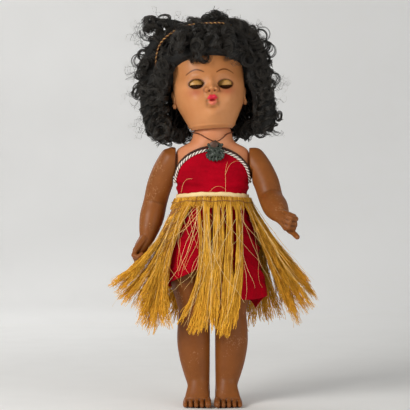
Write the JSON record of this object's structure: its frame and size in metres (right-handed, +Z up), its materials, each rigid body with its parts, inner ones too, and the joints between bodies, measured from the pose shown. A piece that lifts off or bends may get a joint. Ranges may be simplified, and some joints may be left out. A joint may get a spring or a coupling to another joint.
{
  "type": "costume doll",
  "caption": "Standing strung doll with jointed head, arms and legs, sleep eyes, curled wig, cloth bodice, divided skirt, raffia overskirt, headband and a carved pendant on a neck cord.",
  "frame": {"origin": "middle of the outer box at the level of the soles", "axes": "+Z up from the soles to the crown, -Y the way the doll faces, +X the doll's own left"},
  "size_m": [0.213, 0.1518, 0.3921],
  "materials": {
    "skin": "satin moulded plastic, painted face",
    "skin_dark": "satin moulded plastic",
    "elastic": "covered elastic cord",
    "wire": "bent wire",
    "dowel": "plain turned dowel",
    "eye": "glossy dark brown",
    "eyelid": "painted, satin",
    "lashes": "brush of stiff fibre",
    "weight": "dull cast weight",
    "bracket": "dull, glued",
    "hair": "curled black fibre with a brown sheen",
    "headband": "twisted cord with metallic thread",
    "red_cloth": "plain woven cotton",
    "edging": "narrow braid",
    "trim_cord": "twisted white and gold cord",
    "raffia": "dry split raffia strands",
    "raffia_pale": "pale plaited raffia",
    "neck_cord": "thin dark thong",
    "pendant": "polished, carved look"
  },
  "bodies": {
    "torso_body": {"torso": "skin", "arm_elastic": "elastic", "leg_elastic": "elastic", "bodice": "red_cloth", "bodice_edging": "edging", "bodice_cord": "trim_cord", "left_skirt": "red_cloth", "right_skirt": "red_cloth", "raffia_waistband": "raffia_pale", "raffia_front_1": "raffia", "raffia_front_2": "raffia", "raffia_front_3": "raffia", "raffia_front_4": "raffia", "raffia_front_5": "raffia", "raffia_front_6": "raffia", "raffia_right_1": "raffia", "raffia_right_2": "raffia", "raffia_right_3": "raffia", "raffia_right_4": "raffia", "raffia_left_1": "raffia", "raffia_left_2": "raffia", "raffia_left_3": "raffia", "raffia_back_1": "raffia", "raffia_back_2": "raffia", "raffia_back_3": "raffia", "raffia_back_4": "raffia", "raffia_back_5": "raffia", "raffia_back_6": "raffia", "raffia_back_7": "raffia", "neck_cord": "neck_cord"},
    "head_body": {"head": "skin", "head_crossbar": "dowel", "head_hook": "wire", "eye_bracket": "bracket", "wig_cap": "hair", "wig_front": "hair", "wig_back": "hair", "headband": "headband"},
    "eyes_body": {"left_eyeball": "eye", "right_eyeball": "eye", "left_eyelid": "eyelid", "right_eyelid": "eyelid", "left_lashes": "lashes", "right_lashes": "lashes", "eye_rocker": "wire", "eye_weight": "weight"},
    "left_arm_body": {"left_arm": "skin_dark", "left_arm_hook": "wire"},
    "right_arm_body": {"right_arm": "skin_dark", "right_arm_hook": "wire"},
    "left_leg_body": {"left_leg": "skin_dark", "left_leg_hook": "wire"},
    "right_leg_body": {"right_leg": "skin_dark", "right_leg_hook": "wire"},
    "pendant_body": {"pendant": "pendant"}
  },
  "joints": [
    {"name": "head_turn", "type": "hinge", "parent": "torso_body", "child": "head_body", "pos_m": [0, 0.014, 0.266], "axis": [0, 0, 1], "range_deg": [-74, 66]},
    {"name": "eyes_sleep", "type": "hinge", "parent": "head_body", "child": "eyes_body", "pos_m": [-0.00244, -0.00246, 0.31745], "axis": [0.9951, 0.0698, 0.0696], "range_deg": [-25, 30], "deforming": ["left_lashes", "right_lashes"]},
    {"name": "left_shoulder", "type": "hinge", "parent": "torso_body", "child": "left_arm_body", "pos_m": [0, 0.014, 0.243], "axis": [-1, 0, 0], "range_deg": [-70, 65], "deforming": ["arm_elastic"]},
    {"name": "right_shoulder", "type": "hinge", "parent": "torso_body", "child": "right_arm_body", "pos_m": [0, 0.014, 0.243], "axis": [-1, 0, 0], "range_deg": [-24, 111]},
    {"name": "left_hip", "type": "hinge", "parent": "torso_body", "child": "left_leg_body", "pos_m": [0, 0.014, 0.152], "axis": [-1, 0, 0], "range_deg": [-20, 90], "deforming": ["leg_elastic", "left_skirt", "raffia_front_3", "raffia_front_4", "raffia_front_5", "raffia_front_6", "raffia_left_1", "raffia_left_2", "raffia_left_3", "raffia_back_1", "raffia_back_2", "raffia_back_3", "raffia_back_4"]},
    {"name": "right_hip", "type": "hinge", "parent": "torso_body", "child": "right_leg_body", "pos_m": [0, 0.014, 0.152], "axis": [-1, 0, 0], "range_deg": [-20, 90], "deforming": ["right_skirt", "raffia_front_1", "raffia_front_2", "raffia_right_1", "raffia_right_2", "raffia_right_3", "raffia_right_4", "raffia_back_5", "raffia_back_6", "raffia_back_7"]},
    {"name": "pendant_swing", "type": "hinge", "parent": "torso_body", "child": "pendant_body", "pos_m": [0.0025, -0.012, 0.2615], "axis": [-1, 0, 0], "range_deg": [0, 60]}
  ]
}
